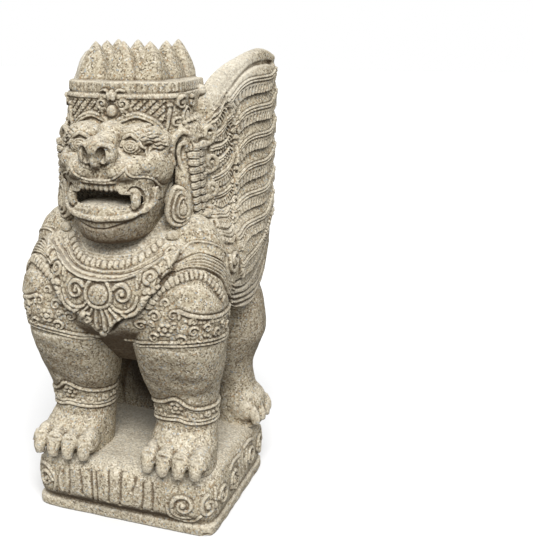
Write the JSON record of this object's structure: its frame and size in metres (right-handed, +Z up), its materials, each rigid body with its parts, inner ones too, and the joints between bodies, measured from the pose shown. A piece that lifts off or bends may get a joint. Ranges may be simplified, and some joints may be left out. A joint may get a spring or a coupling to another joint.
{
  "type": "winged lion statue",
  "caption": "Stone garden figure of a standing winged guardian lion with a carved crown, necklace and square plinth, in one block.",
  "frame": {"origin": "middle of the plinth's underside", "axes": "+Z up, the lion looks along -Y, and its left side is +X"},
  "size_m": [0.3558, 0.3872, 0.8],
  "materials": {
    "stone": "matte speckled stone, hand carved, with brown dirt in the cuts"
  },
  "bodies": {
    "root": {"winged_lion": "stone"}
  },
  "joints": []
}
